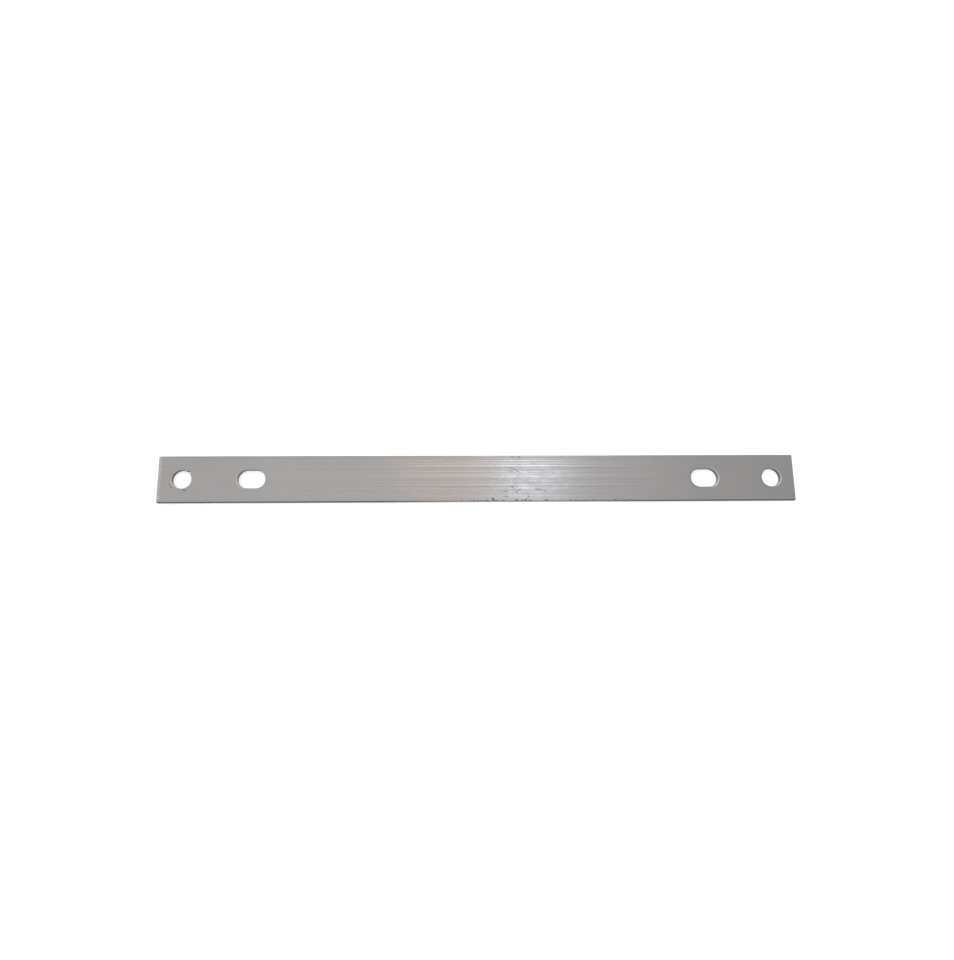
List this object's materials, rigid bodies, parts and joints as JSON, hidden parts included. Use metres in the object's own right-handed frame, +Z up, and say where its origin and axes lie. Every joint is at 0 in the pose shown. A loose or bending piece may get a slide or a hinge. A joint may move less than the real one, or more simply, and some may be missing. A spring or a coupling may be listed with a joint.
{
  "type": "extrusion joining plate",
  "caption": "Flat aluminium bar that bridges the butt joint of two framing extrusions, with a round bolt hole near each end and a lengthwise slot further in.",
  "frame": {"origin": "centre of the plate's underside, midway between the ends and between the long edges", "axes": "+X along the plate, +Y across its width, +Z up through its thickness, out of the face that the holes were punched from"},
  "size_m": [0.34, 0.025, 0.003],
  "materials": {
    "plate": "mill finish, as extruded"
  },
  "bodies": {
    "root": {"joining_plate": "plate"}
  },
  "joints": []
}
